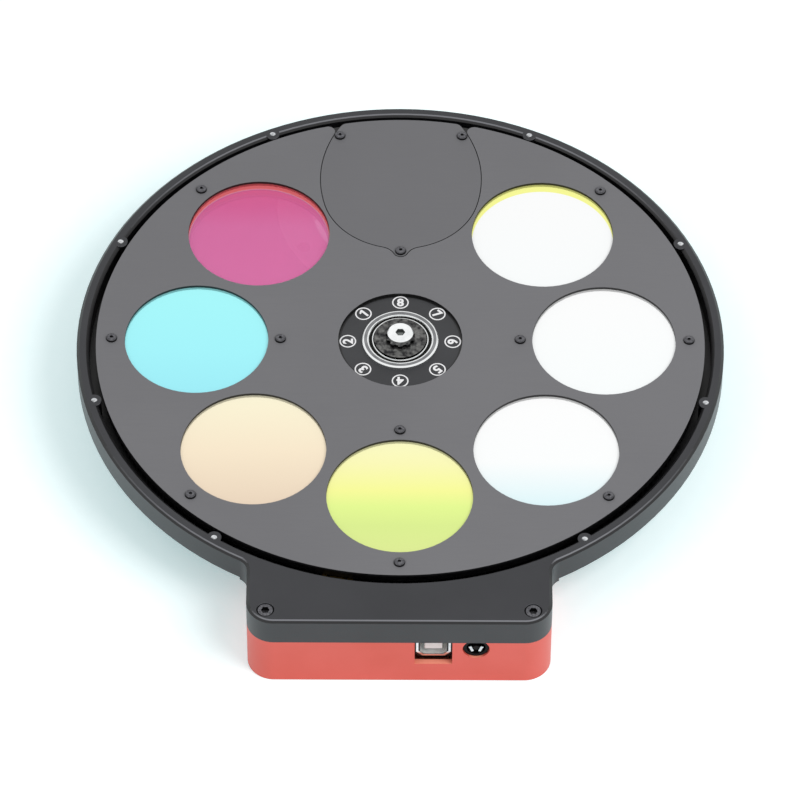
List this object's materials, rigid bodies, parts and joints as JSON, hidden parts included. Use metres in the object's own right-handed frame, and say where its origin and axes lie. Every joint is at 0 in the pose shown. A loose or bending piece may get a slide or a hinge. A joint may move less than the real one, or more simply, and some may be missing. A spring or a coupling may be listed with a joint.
{
  "type": "optical filter wheel",
  "caption": "Motor-driven filter wheel: a geared carousel of round optical filters and a blank in an open round housing with a drive box.",
  "frame": {"origin": "centre of the telescope port's end face, on the optical axis, in the plane that the part rests on", "axes": "+Z along the optical axis, from the telescope port up to the open carousel; -Y from the optical axis across the carousel's axle to the drive box; +X to the right"},
  "size_m": [0.2208, 0.2339, 0.0344],
  "materials": {
    "black_anodised": "black anodised, bead blasted",
    "carousel_black": "black anodised",
    "red_anodised": "red anodised, satin",
    "plate_grey": "matt dark grey coating",
    "black_screw": "black oxide",
    "bright_steel": "ground steel",
    "bearing_steel": "polished",
    "axle_black": "black oxide",
    "magenta_glass": "magenta dichroic coating",
    "cyan_glass": "cyan dichroic coating",
    "cream_glass": "cream interference coating",
    "yellow_glass": "yellow dichroic coating",
    "ice_glass": "clear coated",
    "clear_glass": "clear coated",
    "pale_yellow_glass": "clear coated, yellow edge",
    "motor_steel": "plated sheet steel",
    "brass": "machined",
    "board_green": "solder mask",
    "connector_shell": "nickel plated",
    "jack_plastic": "moulded",
    "magnet": "nickel plated",
    "gear_steel": "blackened steel"
  },
  "bodies": {
    "housing": {"base_housing": "black_anodised", "drive_cover": "red_anodised", "front_cover_screws": "black_screw", "rear_cover_screws": "black_screw", "telescope_adapter": "black_anodised", "adapter_screws": "black_screw", "axle_post": "bright_steel", "axle_washer": "axle_black", "axle_lock_bush": "axle_black", "axle_screw": "bright_steel", "bearing_inner_ring": "bearing_steel", "stepper_motor": "motor_steel", "motor_screws": "black_screw", "circuit_board": "board_green", "board_screws": "black_screw", "usb_socket": "connector_shell", "power_jack": "jack_plastic", "sensor_board": "board_green"},
    "carousel": {"carousel_disc": "carousel_black", "ring_gear": "gear_steel", "retaining_plate": "plate_grey", "blank_plate": "plate_grey", "filter_1": "magenta_glass", "filter_2": "cyan_glass", "filter_3": "cream_glass", "filter_4": "yellow_glass", "filter_5": "ice_glass", "filter_6": "clear_glass", "filter_7": "pale_yellow_glass", "plate_screws": "black_screw", "blank_screws": "black_screw", "home_magnet": "magnet", "bearing_outer_ring": "bearing_steel", "bearing_balls": "bearing_steel", "bearing_shields": "bearing_steel"},
    "motor_rotor": {"motor_shaft": "bright_steel", "pinion": "brass"}
  },
  "joints": [
    {"name": "carousel_spin", "type": "hinge", "parent": "housing", "child": "carousel", "pos_m": [0, -0.0695, 0.0262], "axis": [0, 0, 1], "continuous": true},
    {"name": "pinion_spin", "type": "hinge", "parent": "housing", "child": "motor_rotor", "pos_m": [-0.022, -0.1783, 0.0225], "axis": [0, 0, 1], "continuous": true}
  ],
  "couplings": [
    {"joint": "pinion_spin", "follows": "carousel_spin", "ratio": -11.333}
  ]
}
